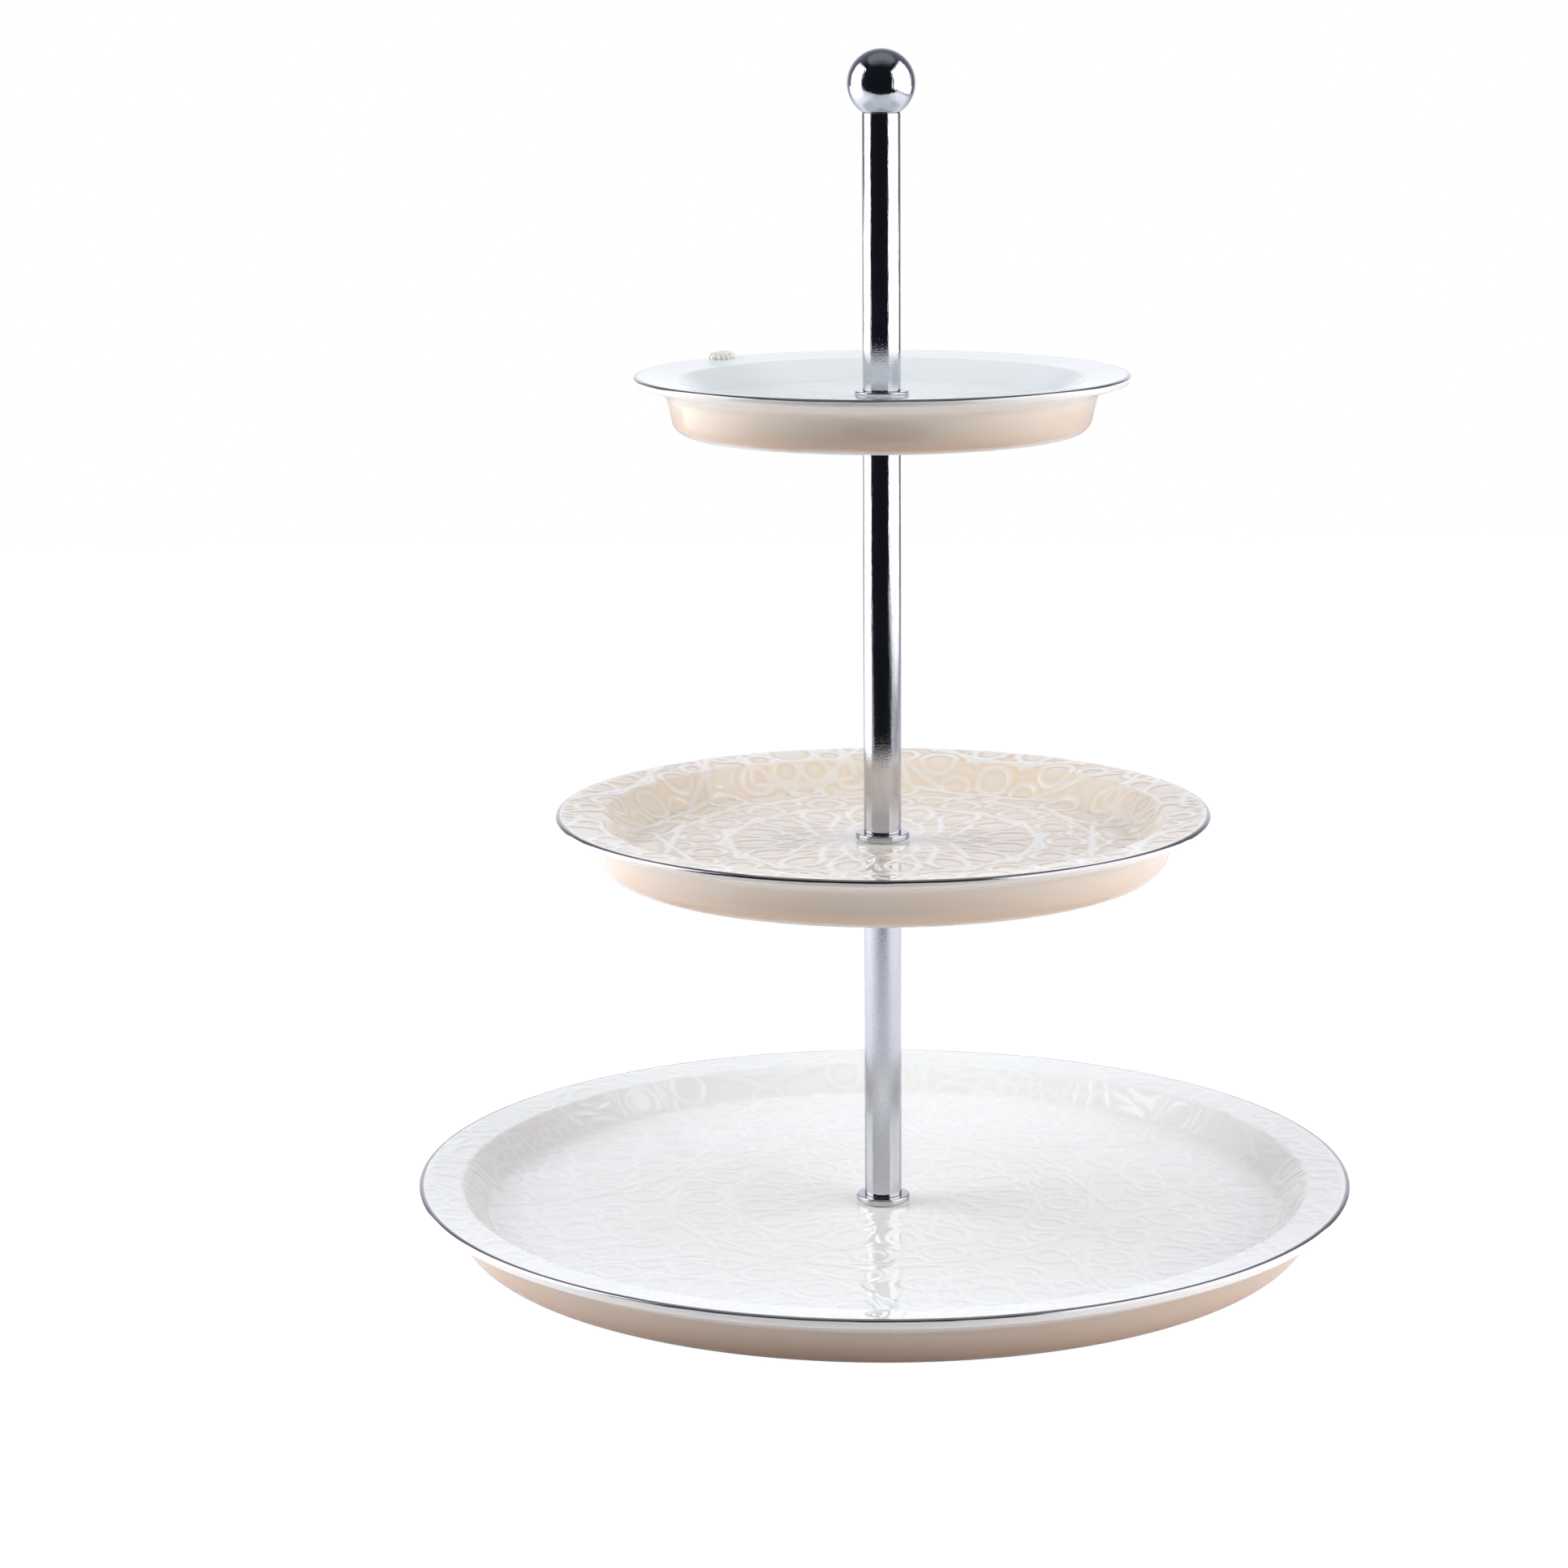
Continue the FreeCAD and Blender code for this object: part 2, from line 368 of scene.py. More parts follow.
def plate_corners(node):
    """The plate's section as (r, z, fillet) corners in millimetres."""
    low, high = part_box(node)
    shape = SECTIONS[node]
    lip_r = high.x / MM
    foot = low.z / MM
    lip = foot + shape["height"]
    floor = lip - shape["depth"]
    under = floor - BASE_THICK
    wall_top_z = lip - shape["lip_thick"] - shape["under_fall"]
    well_edge_r = lip_r - FLANGE_W
    foot_inner_r = lip_r - shape["wall_foot"] - shape["foot_round"] - FOOT_W
    return [
        (HOLE_R, floor, 0),
        (well_edge_r - WELL_WALL_W, floor, WELL_ROUND),
        (well_edge_r, lip - FLANGE_FALL, FLANGE_ROUND),
        (lip_r, lip, LIP_ROUND),
        (lip_r, lip - shape["lip_thick"], LIP_ROUND),
        (lip_r - shape["wall_top"], wall_top_z, shape["wall_fillet"]),
        (lip_r - shape["wall_foot"], foot, shape["foot_round"]),
        (foot_inner_r, foot, FOOT_INNER_ROUND),
        (foot_inner_r - RECESS_SLOPE, under, RECESS_ROUND),
        (HOLE_R, under, 0),
    ]


def ring_count(r):
    wanted = 2 * math.pi * r / FACE_STEP
    return next((n for n in RING_COUNTS if n >= wanted), RING_COUNTS[-1])


def moulding(reach, angle, from_rim, steep, relief):
    """Lift off the plain face in millimetres and pooled glaze; both fade at the collar and the lip."""
    relief_h, ridge_w = relief
    narrowed = 1 - WALL_NARROWING * smooth(steep * 1.5)
    height, pooled = pattern(reach, angle, ridge_w * narrowed)
    middle = HUB_SHARE + (1 - HUB_SHARE) * fade(reach, *HUB_FADE)
    shown = middle * fade(reach, *COLLAR_FADE) * fade(-from_rim, *LIP_FADE)
    return relief_h * shown * (height - FLAT_HEIGHT), pooled * shown


def build_plate(node):
    """A turned plate, with its moulded pattern if it has one."""
    relief = SECTIONS[node]["relief"]
    corners = rounded(plate_corners(node))
    face_runs = int(np.argmax(corners[:, 0]))
    line = divided(corners, [FACE_STEP] * face_runs + [COARSE_STEP] * (len(corners) - face_runs))
    rim = int(np.argmax(line[:, 0]))
    counts = [ring_count(r) for r in line[: rim + 1, 0]] if relief else [UNDER_COUNT] * (rim + 1)
    top_ring = counts[rim]
    for i in range(rim + 1, len(line)):
        counts.append(min(top_ring, UNDER_COUNT if line[i, 0] > INNER_R else INNER_COUNT))
    co, angle, row, faces = turned_mesh(line, counts)
    reach = np.r_[0.0, np.cumsum(np.hypot(*np.diff(line, axis=0).T))] + line[0, 0]
    tangent = np.gradient(line, axis=0)
    tangent /= np.linalg.norm(tangent, axis=1)[:, None]
    normal = np.c_[-tangent[:, 1], tangent[:, 0]]
    from_rim = reach - reach[rim]
    on_face = row <= rim
    pooled = np.zeros(len(co))
    if relief:
        lift, pooled = moulding(reach[row], angle, from_rim[row], np.abs(normal[row, 0]), relief)
        lift *= on_face
        pooled *= on_face
        co[:, 0] += lift * normal[row, 0] * np.cos(angle)
        co[:, 1] += lift * normal[row, 0] * np.sin(angle)
        co[:, 2] += lift * normal[row, 1]
    piece = new_object(node + "_glazed", co, faces)
    set_attribute(piece, "pooled", pooled)
    set_attribute(piece, "from_rim", from_rim[row])
    set_attribute(piece, "steep", np.abs(normal[row, 0]))
    crease_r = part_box(node)[1].x / MM - SECTIONS[node]["wall_top"]
    after_rim = np.arange(len(line)) > rim
    crease = int(np.argmin(np.where(after_rim, np.abs(line[:, 0] - crease_r), np.inf)))
    set_attribute(piece, "past_crease", reach[row] - reach[crease])
    foot = line[:, 1].min()
    set_attribute(piece, "over_foot", co[:, 2] - foot)
    return piece


# ---------------------------------------------------------------- materials

class Nodes:
    """A cleared node tree and short calls for the nodes that materials and the world share."""

    def __init__(self, tree):
        self.tree = tree
        self.tree.nodes.clear()

    def node(self, kind, **settings):
        made = self.tree.nodes.new(kind)
        for key, value in settings.items():
            setattr(made, key, value)
        return made

    def feed(self, socket, value):
        """Sets a socket to a number or colour, or links it to another node's socket."""
        if isinstance(value, bpy.types.NodeSocket):
            self.tree.links.new(value, socket)
        else:
            socket.default_value = value

    def ramp(self, factor, *stops):
        """A colour ramp over a factor, from (position, colour) stops."""
        made = self.node("ShaderNodeValToRGB")
        elements = made.color_ramp.elements
        while len(elements) < len(stops):
            elements.new(0.5)
        for element, (position, colour) in zip(elements, stops):
            element.position = position
            element.color = (*colour, 1)
        self.feed(made.inputs[0], factor)
        return made.outputs["Color"]

    def mix(self, factor, a, b):
        made = self.node("ShaderNodeMix", data_type="RGBA")
        self.feed(made.inputs["Factor"], factor)
        self.feed(made.inputs["A"], a if isinstance(a, bpy.types.NodeSocket) else (*a, 1))
        self.feed(made.inputs["B"], b if isinstance(b, bpy.types.NodeSocket) else (*b, 1))
        return made.outputs["Result"]

    def rise(self, factor, start, end):
        """Rises from 0 to 1 as a factor goes from start to end."""
        return self.spread(factor, 0.0, 1.0, start, end)

    def fall(self, factor, start, end):
        """Falls from 1 to 0 as a factor goes from start to end."""
        return self.spread(factor, 1.0, 0.0, start, end)

    def spread(self, factor, low, high, start=0.0, end=1.0):
        """Maps start..end of a factor to low..high."""
        made = self.node("ShaderNodeMapRange")
        self.feed(made.inputs["Value"], factor)
        made.inputs["From Min"].default_value = start
        made.inputs["From Max"].default_value = end
        made.inputs["To Min"].default_value = low
        made.inputs["To Max"].default_value = high
        return made.outputs["Result"]


class Shader(Nodes):
    """A new Principled material and short calls for the nodes that vary it."""

    def __init__(self, name, **values):
        self.material = bpy.data.materials.new(name)
        self.material.use_nodes = True
        super().__init__(self.material.node_tree)
        self.output = self.node("ShaderNodeOutputMaterial")
        self.bsdf = self.node("ShaderNodeBsdfPrincipled")
        self.feed(self.output.inputs["Surface"], self.bsdf.outputs["BSDF"])
        self.place = self.node("ShaderNodeTexCoord").outputs["Object"]
        for socket, value in values.items():
            self.bsdf.inputs[socket.replace("_", " ")].default_value = value

    def math(self, operation, a, b=0.0, clamp=False):
        made = self.node("ShaderNodeMath", operation=operation, use_clamp=clamp)
        self.feed(made.inputs[0], a)
        self.feed(made.inputs[1], b)
        return made.outputs[0]

    def attribute(self, name):
        return self.node("ShaderNodeAttribute", attribute_name=name).outputs["Fac"]

    def noise(self, scale, detail=3.0, stretch=None):
        """Noise of a scale per metre in the piece's own space, which stretch scales by axis."""
        place = self.place
        if stretch:
            mapping = self.node("ShaderNodeMapping")
            self.feed(mapping.inputs["Vector"], place)
            mapping.inputs["Scale"].default_value = stretch
            place = mapping.outputs[0]
        made = self.node("ShaderNodeTexNoise")
        self.feed(made.inputs["Vector"], place)
        made.inputs["Scale"].default_value = scale
        made.inputs["Detail"].default_value = detail
        return made.outputs["Fac"]

    def bump(self, height, distance):
        made = self.node("ShaderNodeBump")
        made.inputs["Strength"].default_value = 1.0
        made.inputs["Distance"].default_value = distance
        self.feed(made.inputs["Height"], height)
        self.feed(self.bsdf.inputs["Normal"], made.outputs["Normal"])


# The platinum band is placed by its distance past the rim, and the pale zone under the lip, which is
# painted bounce light from the floor, by its distance past the crease where the outer wall starts,
# in millimetres along the surface.
BAND_W = 1.6
BAND_MIDDLE = -1.35
BAND_BLUR = 0.08
PLATINUM = (0.45, 0.445, 0.465)
BARE_PORCELAIN = (0.72, 0.68, 0.62)
FOOT_EDGE = (0.80, 0.77, 0.74)
WARMING = (0.985, 0.945, 0.93)
# Where the painted bounce light under the lip gives way to the outer wall's colour, in millimetres past
# the crease.
CREASE_START, CREASE_END = -2.4, -0.4
OUTER_WALL_H = 14.0


def blended(a, b, share):
    """The colour that is a share b and the rest a."""
    return tuple((1 - share) * x + share * y for x, y in zip(a, b))


def glazed_face(s, cloud, thin, thick, well_wall):
    """Colour of a plate's face: pale on the ridges, deeper in the pools, warmer on the well's wall."""
    pooled = s.math("ADD", s.attribute("pooled"), s.spread(cloud, -0.16, 0.16), clamp=True)
    face = s.ramp(pooled, (0.0, thin), (0.45, blended(thin, thick, 0.5)), (1.0, thick))
    warm = tuple(c * k for c, k in zip(well_wall, WARMING))
    tone = s.mix(s.rise(s.noise(14.0, 1.0), 0.35, 0.65), well_wall, warm)
    wall = s.mix(pooled, blended(thin, well_wall, 0.4), tone)
    return s.mix(s.spread(s.attribute("steep"), 0.0, 0.9, 0.15, 0.5), face, wall)


def glazed_outside(s, cloud, over_foot, under_lip_painted_bounce, under, under_low):
    """Colour of a plate's outside: pale under the lip as painted bounce light from the floor, then peach,
    deeper towards the foot.
    """
    height = s.math("ADD", s.rise(over_foot, 0.0, OUTER_WALL_H), s.spread(cloud, -0.1, 0.1))
    wall = s.ramp(height, (0.0, FOOT_EDGE), (0.16, under_low), (0.80, under))
    past_crease = s.rise(s.attribute("past_crease"), CREASE_START, CREASE_END)
    # The pale under-lip colour is painted bounce light from the white floor on the lip's downward-facing
    # underside.
    return s.mix(past_crease, under_lip_painted_bounce, wall)


def lip_band(s, from_rim):
    """The platinum band round the lip: 1 on it and 0 off it, with a slightly uneven edge."""
    from_middle = s.math("ABSOLUTE", s.math("SUBTRACT", from_rim, BAND_MIDDLE))
    edge = s.math("ADD", from_middle, s.spread(s.noise(75.0), -0.2, 0.2))
    return s.fall(edge, BAND_W / 2 - BAND_BLUR, BAND_W / 2 + BAND_BLUR)


def glaze(name, thin, thick, well_wall, under_lip_painted_bounce, under, under_low):
    """Glossy glazed porcelain that is darker where glaze pools, with a platinum band on the lip."""
    s = Shader(name, IOR=1.55, Specular_IOR_Level=0.5)
    cloud = s.noise(26.0, 4.0)
    fine = s.noise(420.0, 2.0)
    from_rim = s.attribute("from_rim")
    over_foot = s.attribute("over_foot")
    face = glazed_face(s, cloud, thin, thick, well_wall)
    outside = glazed_outside(s, cloud, over_foot, under_lip_painted_bounce, under, under_low)
    body = s.mix(s.rise(from_rim, -0.8, 0.1), face, outside)
    foot_level = s.math("ADD", over_foot, s.spread(fine, -0.25, 0.25))
    unglazed = s.fall(foot_level, 0.25, 0.45)
    body = s.mix(unglazed, body, BARE_PORCELAIN)
    band = lip_band(s, from_rim)
    s.feed(s.bsdf.inputs["Base Color"], s.mix(band, body, PLATINUM))
    s.feed(s.bsdf.inputs["Metallic"], band)
    duller = s.math("ADD", s.math("MULTIPLY", unglazed, 0.5), s.math("MULTIPLY", band, 0.06))
    rough = s.math("ADD", s.spread(cloud, 0.03, 0.07), duller)
    s.feed(s.bsdf.inputs["Roughness"], rough)
    ripple = s.math("ADD", s.noise(55.0, 2.0), s.math("MULTIPLY", fine, 0.03))
    s.bump(ripple, 0.00016)
    return s.material


def polished(name, colour, low=0.03, high=0.10):
    """Plated or polished metal: faint drawn streaks, grain, cloudy wear and small specks."""
    s = Shader(name, Metallic=1.0)
    streaks = s.noise(1700.0, 3.0, (1, 1, 0.07))
    grain = s.noise(2600.0, 2.0)
    cloud = s.noise(60.0, 4.0)
    speck = s.rise(s.noise(1500.0, 1.0), 0.64, 0.72)
    dull = tuple(c * 0.78 for c in colour)
    worn = s.math("MULTIPLY", s.math("MULTIPLY", cloud, grain), 1.1)
    worn = s.math("ADD", worn, s.math("MULTIPLY", speck, 0.8), clamp=True)
    s.feed(s.bsdf.inputs["Base Color"], s.mix(worn, colour, dull))
    rough = s.math("ADD", s.spread(cloud, low, high, 0.3, 0.7), s.math("MULTIPLY", speck, 0.12))
    s.feed(s.bsdf.inputs["Roughness"], rough)
    marks = s.math("ADD", streaks, s.math("MULTIPLY", grain, 0.4))
    s.bump(s.math("ADD", marks, cloud), 0.00004)
    return s.material


def soft_rubber(name):
    """Pale rubber with a fine dull grain."""
    s = Shader(name, IOR=1.41)
    cloud = s.noise(300.0, 3.0)
    tone = s.ramp(cloud, (0.3, (0.70, 0.70, 0.69)), (0.7, (0.80, 0.80, 0.78)))
    s.feed(s.bsdf.inputs["Base Color"], tone)
    s.feed(s.bsdf.inputs["Roughness"], s.spread(cloud, 0.35, 0.55))
    s.bump(s.noise(2500.0), 0.00003)
    return s.material


def lustre(name, colour):
    """Moulded porcelain with a softly cloudy colour under a clear coat."""
    s = Shader(name, IOR=1.5, Coat_Weight=0.1, Coat_Roughness=0.2)
    cloud = s.noise(900.0, 3.0)
    pale = tuple(min(1.0, c * 1.12) for c in colour)
    s.feed(s.bsdf.inputs["Base Color"], s.mix(cloud, colour, pale))
    s.feed(s.bsdf.inputs["Roughness"], s.spread(cloud, 0.45, 0.6))
    s.bump(s.noise(1500.0), 0.00002)
    return s.material


def dress(piece, material):
    piece.data.materials.clear()
    piece.data.materials.append(material)


# ---------------------------------------------------------------- turned metal

ROUND_SEGMENTS = 192
TUBE_STEP = 6.0
EDGE_ARC_STEP = 0.1
TUBE_BORE_R = 5.0
TUBE_EDGE = 0.3
WASHER_BORE_R = 3.25
COLLAR_EDGE = 0.45
BALL_BORE_R = 3.0
BALL_BORE_L = 9.5
BALL_SEAT_R = 5.7
BALL_ARC_POINTS = 72
THREAD_PITCH = 1.0
THREAD_DEPTH = 0.6
THREAD_SEGMENTS = 48
THREAD_ROWS = 10


def outline(node):
    """Outer radius, lowest and highest level of a turned node, in millimetres."""
    low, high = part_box(node)
    return high.x / MM, low.z / MM, high.z / MM


def turned_piece(name, line, closed):
    """A turned solid; a line that isn't closed starts and ends on the axis."""
    counts = [ROUND_SEGMENTS if r > 0 else 1 for r in line[:, 0]]
    co, _, _, faces = turned_mesh(line, counts, closed)
    return new_object(name, co, faces)


def build_ring(node, bore_r, edge):
    """A tube or a washer with rounded outer edges."""
    outer_r, low, high = outline(node)
    corners = [(bore_r, low, 0), (outer_r, low, edge), (outer_r, high, edge), (bore_r, high, 0)]
    line = rounded(corners, EDGE_ARC_STEP)
    line = divided(line, [TUBE_STEP] * len(line))
    return turned_piece(node + "_turned", line, closed=True)


def build_ball(node):
    """A polished ball with a flat seat and a blind threaded hole."""
    ball_r, seat, top = outline(node)
    centre = top - ball_r
    start = math.atan2(seat - centre, BALL_SEAT_R)
    arc = np.linspace(start, math.pi / 2, BALL_ARC_POINTS)
    line = [(0, seat + BALL_BORE_L), (BALL_BORE_R, seat + BALL_BORE_L), (BALL_BORE_R, seat)]
    line += [(ball_r * math.cos(a), centre + ball_r * math.sin(a)) for a in arc[:-1]]
    line.append((0, top))
    return turned_piece(node + "_turned", np.array(line), closed=False)


def build_thread(node):
    """A stud with a helical screw thread that runs out at both ends."""
    outer_r, low, high = outline(node)
    levels = np.linspace(low, high, int(round((high - low) / THREAD_PITCH * THREAD_ROWS)) + 1)
    angle = np.arange(THREAD_SEGMENTS) * 2 * math.pi / THREAD_SEGMENTS
    z, a = np.meshgrid(levels, angle, indexing="ij")
    turn = (z / THREAD_PITCH - a / (2 * math.pi)) % 1.0
    tooth = np.clip(1.25 - 2.9 * np.abs(turn - 0.5), 0.0, 1.0)
    from_end = np.minimum(z - low, high - z)
    r = np.minimum(outer_r - THREAD_DEPTH * (1 - tooth), outer_r - THREAD_DEPTH * 1.3 + from_end)
    co = np.c_[(r * np.cos(a)).ravel(), (r * np.sin(a)).ravel(), z.ravel()]
    co = np.vstack([co, (0, 0, low), (0, 0, high)])
    rows, n = z.shape
    faces = []
    for i in range(rows - 1):
        faces += ring_faces(i * n, n, (i + 1) * n, n)
    faces += ring_faces(rows * n, 1, 0, n)
    faces += ring_faces((rows - 1) * n, n, rows * n + 1, 1)
    return new_object(node + "_threaded", co, faces)


# ---------------------------------------------------------------- sprig on the top plate's rim

# Half lengths, half widths and heights in millimetres.
SPRIG_PETALS = 14
SPRIG_CAP = (4.7, 2.1, 1.1)
SPRIG_BODY_H = 1.5
SPRIG_SINK = 0.8
PETAL_SIZE = (1.7, 1.0, 1.2)
PETAL_RING = 0.80
CAP_LOBE = 0.07
CAP_EDGE_H = 0.25
CAP_FOOT = 0.8


def dome(size, lobes, rings=10, segments=84):
    """A low oval dome with a lobed edge, closed underneath, of half lengths and a height."""
    fraction = np.sin(np.linspace(0, math.pi / 2, rings + 1))[1:]
    co = [(0, 0, size[2])]
    for f in fraction:
        for k in range(segments):
            a = k * 2 * math.pi / segments
            edge = f * (1 + CAP_LOBE * f * f * math.cos(lobes * a))
            lift = size[2] * (math.sqrt(max(0.0, 1 - f * f)) * (1 - CAP_EDGE_H) + CAP_EDGE_H)
            co.append((size[0] * edge * math.cos(a), size[1] * edge * math.sin(a), lift))
    inner = len(co)
    for k in range(segments):
        a = k * 2 * math.pi / segments
        co.append((size[0] * CAP_FOOT * math.cos(a), size[1] * CAP_FOOT * math.sin(a), 0.0))
    co.append((0, 0, 0.0))
    faces = ring_faces(1, segments, 0, 1)
    for i in range(rings - 1):
        faces += ring_faces(1 + (i + 1) * segments, segments, 1 + i * segments, segments)
    faces += ring_faces(inner, segments, inner - segments, segments)
    faces += ring_faces(len(co) - 1, 1, inner, segments)
    return np.array(co), faces


def ball_of(centre, size, yaw, rings=10, segments=20):
    """An ellipsoid of half lengths along its own axes, turned by yaw about the vertical."""
    co = []
    for i in range(1, rings):
        t = math.pi * i / rings
        for k in range(segments):
            a = k * 2 * math.pi / segments
            x = size[0] * math.sin(t) * math.cos(a)
            y = size[1] * math.sin(t) * math.sin(a)
            co.append((x, y, -size[2] * math.cos(t)))
    co += [(0, 0, -size[2]), (0, 0, size[2])]
    co = np.array(co)
    turn = np.array([[math.cos(yaw), math.sin(yaw), 0], [-math.sin(yaw), math.cos(yaw), 0], [0, 0, 1]])
    faces = ring_faces(len(co) - 2, 1, 0, segments)
    for i in range(rings - 2):
        faces += ring_faces(i * segments, segments, (i + 1) * segments, segments)
    faces += ring_faces((rings - 2) * segments, segments, len(co) - 1, 1)
    return co @ turn + np.array(centre), faces


def build_sprig(node, cap_look, petal_look):
    """White petals around a beige oval cap, lying along the rim."""
    low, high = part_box(node)
    middle = (low + high) / 2 / MM
    top = high.z / MM
    length, width, cap_h = SPRIG_CAP
    petal_z = -cap_h - SPRIG_SINK
    parts = []
    for i in range(SPRIG_PETALS):
        a = (i + 0.5) * 2 * math.pi / SPRIG_PETALS
        x = length * PETAL_RING * math.cos(a)
        y = width * PETAL_RING * math.sin(a)
        yaw = math.atan2(math.sin(a) * length, math.cos(a) * width)
        parts.append(ball_of((x, y, petal_z), PETAL_SIZE, yaw))
    parts.append(ball_of((0, 0, petal_z), (length, width, SPRIG_BODY_H), 0.0))
    cap, cap_faces = dome(SPRIG_CAP, SPRIG_PETALS)
    parts.append((cap - (0, 0, cap_h), cap_faces))
    co = np.vstack([p[0] for p in parts])
    faces = []
    start = 0
    for points, part_faces in parts:
        faces += [[start + v for v in face] for face in part_faces]
        start += len(points)
    spoke = math.atan2(middle.y, middle.x)
    along = np.array([-math.sin(spoke), math.cos(spoke)])
    across = np.array([math.cos(spoke), math.sin(spoke)])
    placed = np.empty_like(co)
    placed[:, :2] = co[:, :1] * along + co[:, 1:2] * across + np.array([middle.x, middle.y])
    placed[:, 2] = co[:, 2] + top
    piece = new_object(node + "_sprig", placed, faces)
    piece.data.materials.append(petal_look)
    piece.data.materials.append(cap_look)
    in_cap = len(faces) - len(cap_faces)
    piece.data.polygons.foreach_set("material_index", [int(i >= in_cap) for i in range(len(faces))])
    return piece


SHARP_ANGLE = math.radians(40)


def sharpen(piece):
    """Flat runs stay flat: edges sharper than SHARP_ANGLE are split in shading."""
    piece.data.set_sharp_from_angle(angle=SHARP_ANGLE)


# ---------------------------------------------------------------- camera, light and floor

CAMERA_PLACE = (-0.0314, -1.2861, 0.4080)
CAMERA_DIP = math.radians(11.43)
CAMERA_ROLL = math.radians(-0.39)
CAMERA_LENS = 94.5
SENSOR_WIDTH = 36.0


def build_camera():
    data = bpy.data.cameras.new("camera")
    data.lens = CAMERA_LENS
    data.sensor_width = SENSOR_WIDTH
    camera = bpy.data.objects.new("camera", data)
    bpy.context.scene.collection.objects.link(camera)
    down = Matrix.Rotation(math.pi / 2 - CAMERA_DIP, 4, "X")
    roll = Matrix.Rotation(CAMERA_ROLL, 4, "Z")
    camera.matrix_world = Matrix.Translation(CAMERA_PLACE) @ down @ roll
    bpy.context.scene.camera = camera


# Distance of the softboxes from the column, the level where the low ones end, and how much
# further out the fills stand.
SIDE = 0.75
SPLIT = 0.27
FILL_BEHIND = 1.04
FILL_COLOUR = (0.89, 0.955, 1.0)


def panel(name, size, location, turn, radiance, mirrored, colour=(1, 1, 1)):
    """A rectangular light of even radiance; one that is not mirrored only softens the shading."""
    data = bpy.data.lights.new(name, "AREA")
    data.shape = "RECTANGLE"
    data.size, data.size_y = size
    data.energy = radiance * math.pi * data.size * data.size_y
    data.color = colour
    light = bpy.data.objects.new(name, data)
    bpy.context.scene.collection.objects.link(light)
    light.location = location
    light.rotation_euler = (0, turn, 0)
    light.visible_camera = False
    light.visible_glossy = mirrored


def softbox(name, x, y_range, z_range, shown, unseen):
    """An upright softbox beside the stand: shown is its radiance, unseen that of a fill behind it."""
    size = (z_range[1] - z_range[0], y_range[1] - y_range[0])
    y, z = sum(y_range) / 2, sum(z_range) / 2
    turn = math.copysign(math.pi / 2, x)
    panel(name, size, (x, y, z), turn, shown, True)
    panel(name + "_fill", size, (x * FILL_BEHIND, y, z), turn, unseen, False, FILL_COLOUR)


# Light of the room from front (0) to back (1), all round the stand and from the ceiling.
ROOM_AROUND = (
    (0.0, (0.010, 0.011, 0.014)),
    (0.52, (0.014, 0.018, 0.026)),
    (0.62, (0.08, 0.08, 0.10)),
    (0.86, (0.20, 0.20, 0.24)),
    (0.93, (0.38, 0.38, 0.44)),
    (0.97, (0.80, 0.81, 0.87)),
    (1.0, (1.05, 1.06, 1.12)),
)
ROOM_CEILING = (
    (0.25, (0.02, 0.021, 0.025)),
    (0.5, (0.27, 0.28, 0.30)),
)
CEILING_EDGE = (0.82, 0.87)


def build_world():
    """White to the camera; around the stand a dark room in front, a grey ceiling, a pale backdrop."""
    world = bpy.data.worlds.new("studio")
    bpy.context.scene.world = world
    world.use_nodes = True
    n = Nodes(world.node_tree)
    split = n.node("ShaderNodeSeparateXYZ")
    n.feed(split.inputs[0], n.node("ShaderNodeTexCoord").outputs["Generated"])
    depth = n.rise(split.outputs["Y"], -1.0, 1.0)
    overhead = n.rise(split.outputs["Z"], *CEILING_EDGE)
    room = n.node("ShaderNodeBackground")
    around = n.ramp(depth, *ROOM_AROUND)
    ceiling = n.ramp(depth, *ROOM_CEILING)
    n.feed(room.inputs["Color"], n.mix(overhead, around, ceiling))
    white = n.node("ShaderNodeBackground")
    n.feed(white.inputs["Color"], (1, 1, 1, 1))
    choose = n.node("ShaderNodeMixShader")
    n.feed(choose.inputs[0], n.node("ShaderNodeLightPath").outputs["Is Camera Ray"])
    n.feed(choose.inputs[1], room.outputs[0])
    n.feed(choose.inputs[2], white.outputs[0])
    n.feed(n.node("ShaderNodeOutputWorld").inputs[0], choose.outputs[0])


FLOOR_X = (-1.6, 0.95)
FLOOR_Y = (-0.47, 1.6)
FLOOR_GAP = 0.0002
FLOOR_GREY = (0.82, 0.83, 0.88)
FLOOR_PALE = (0.86, 0.87, 0.92)
# Share and strength of the even white that the camera sees.
SHOWN_WHITE = 0.88
SHOWN_GLOW = 1.11
# The floor's own light is weaker near a spot in front of the stand.
DIM_SPOT = (0, -0.36, 0)
DIM_RANGE = (0.14, 0.38)
FLOOR_LIT = 0.27


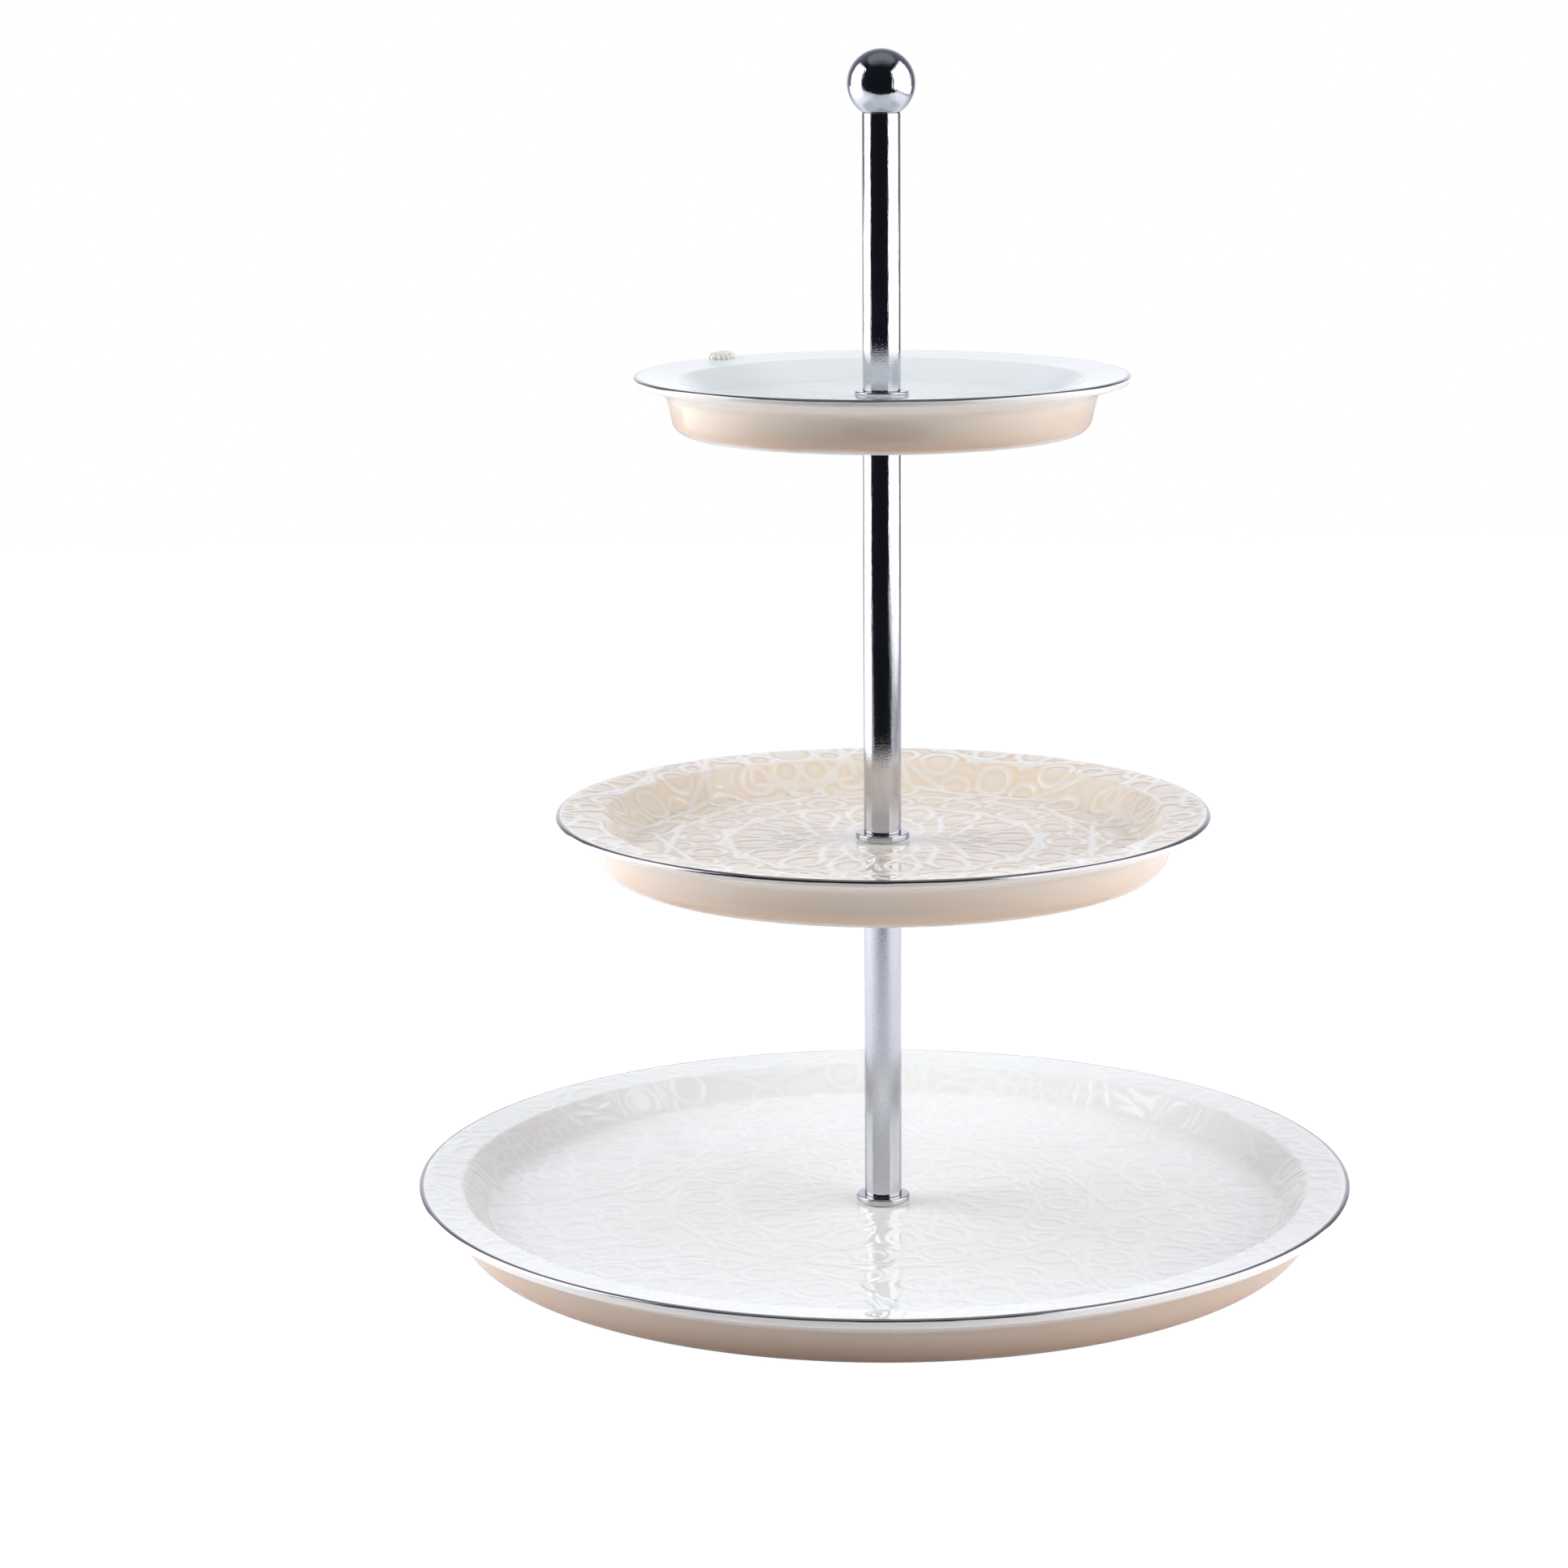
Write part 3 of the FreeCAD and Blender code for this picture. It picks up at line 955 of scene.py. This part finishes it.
def build_floor():
    """A white table top that ends a little in front of the stand."""
    left, right = FLOOR_X
    front, back = FLOOR_Y
    low = -FLOOR_GAP
    co = np.array([(left, front, low), (right, front, low), (right, back, low), (left, back, low)]) / MM
    floor = new_object("floor", co, [[0, 1, 2, 3]], smooth=False)
    s = Shader("floor_white", Roughness=0.7)
    s.feed(s.bsdf.inputs["Base Color"], s.ramp(s.noise(3.0), (0.0, FLOOR_GREY), (1.0, FLOOR_PALE)))
    glow = s.node("ShaderNodeEmission")
    s.feed(glow.inputs["Color"], (1, 1, 1, 1))
    s.feed(glow.inputs["Strength"], SHOWN_GLOW)
    lit = s.node("ShaderNodeEmission")
    s.feed(lit.inputs["Color"], (1, 0.99, 0.98, 1))
    away = s.node("ShaderNodeVectorMath", operation="DISTANCE")
    s.feed(away.inputs[0], s.place)
    s.feed(away.inputs[1], DIM_SPOT)
    s.feed(lit.inputs["Strength"], s.spread(away.outputs["Value"], 0.0, FLOOR_LIT, *DIM_RANGE))
    both = s.node("ShaderNodeAddShader")
    s.feed(both.inputs[0], s.bsdf.outputs[0])
    s.feed(both.inputs[1], lit.outputs[0])
    blend = s.node("ShaderNodeMixShader")
    seen = s.node("ShaderNodeLightPath").outputs["Is Camera Ray"]
    s.feed(blend.inputs[0], s.math("MULTIPLY", seen, SHOWN_WHITE))
    s.feed(blend.inputs[1], both.outputs[0])
    s.feed(blend.inputs[2], glow.outputs[0])
    s.feed(s.output.inputs["Surface"], blend.outputs[0])
    dress(floor, s.material)


build_camera()
build_world()
build_floor()
softbox("softbox_left", -SIDE, (-0.26, 0.46), (SPLIT, 1.05), 2.2, 2.25)
softbox("softbox_left_low", -SIDE, (-0.26, 0.75), (0.0, SPLIT), 2.3, 1.3)
softbox("softbox_right", SIDE, (-0.89, 0.38), (SPLIT, 1.2), 2.0, 0.65)
softbox("softbox_right_low", SIDE, (-0.89, 0.50), (0.05, SPLIT), 2.0, 0.4)
panel("overhead_fill", (1.2, 1.2), (0, 0.1, 1.3), 0, 0.84, False)
bpy.context.scene.view_settings.view_transform = "Standard"

RECORD = frame["record"]
BODIES = {node: body for body, nodes in RECORD["behaviour"]["bodies"].items() for node in nodes}
SLOTS = {part["node"]: part["material_slot"] for part in RECORD["subparts"]}


def install(piece, node, look=None):
    """Puts a detailed piece in a CAD node's place."""
    if look:
        dress(piece, look)
    sharpen(piece)
    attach(piece, BODIES[node])
    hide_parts(node)


# Tones of each glaze: thin over the ridges, thick in the pools, then the well's wall and the outside,
# where the pale tone under the lip is painted bounce light from the floor.
GLAZES = {
    "bottom_plate": {
        "name": "glaze_white",
        "thin": (0.90, 0.92, 0.925),
        "thick": (0.885, 0.90, 0.90),
        "well_wall": (0.855, 0.865, 0.86),
        "under_lip_painted_bounce": (0.92, 0.88, 0.84),
        "under": (0.68, 0.54, 0.43),
        "under_low": (0.56, 0.38, 0.27),
    },
    "middle_plate": {
        "name": "glaze_ivory",
        "thin": (0.87, 0.85, 0.83),
        "thick": (0.74, 0.61, 0.49),
        "well_wall": (0.89, 0.77, 0.62),
        "under_lip_painted_bounce": (0.86, 0.79, 0.73),
        "under": (0.82, 0.70, 0.585),
        "under_low": (0.70, 0.51, 0.37),
    },
    "top_plate": {
        "name": "glaze_pale",
        "thin": (0.89, 0.925, 0.935),
        "thick": (0.89, 0.925, 0.935),
        "well_wall": (0.90, 0.93, 0.935),
        "under_lip_painted_bounce": (0.84, 0.79, 0.74),
        "under": (0.80, 0.685, 0.575),
        "under_low": (0.62, 0.45, 0.33),
    },
}
for node, tones in GLAZES.items():
    install(build_plate(node), node, glaze(**tones))

chrome = polished("chrome", (0.60, 0.61, 0.65))
steel = polished("steel", (0.60, 0.60, 0.61), 0.15, 0.3)
brass = polished("brass", (0.72, 0.52, 0.24), 0.15, 0.3)
rubber = soft_rubber("clear_rubber")
beige_lustre = lustre("beige_lustre", (0.92, 0.82, 0.66))
petal_white = lustre("petal_white", (0.91, 0.91, 0.92))
# Pieces whose CAD mesh shows as it is.
SLOT_LOOKS = {
    "steel_thread": steel,
    "steel_washer": steel,
    "brass_insert": brass,
    "soft_washer": rubber,
}
for node, slot in SLOTS.items():
    if slot == "rod_chrome":
        install(build_ring(node, TUBE_BORE_R, TUBE_EDGE), node, chrome)
    elif slot == "collar_chrome":
        install(build_ring(node, WASHER_BORE_R, COLLAR_EDGE), node, chrome)
    elif slot == "ball_chrome":
        install(build_ball(node), node, chrome)
    elif slot == "gilded_sprig":
        install(build_sprig(node, beige_lustre, petal_white), node)
    elif node.endswith("_stud"):
        install(build_thread(node), node, steel)
    elif slot in SLOT_LOOKS:
        dress(frame["nodes"][node], SLOT_LOOKS[slot])
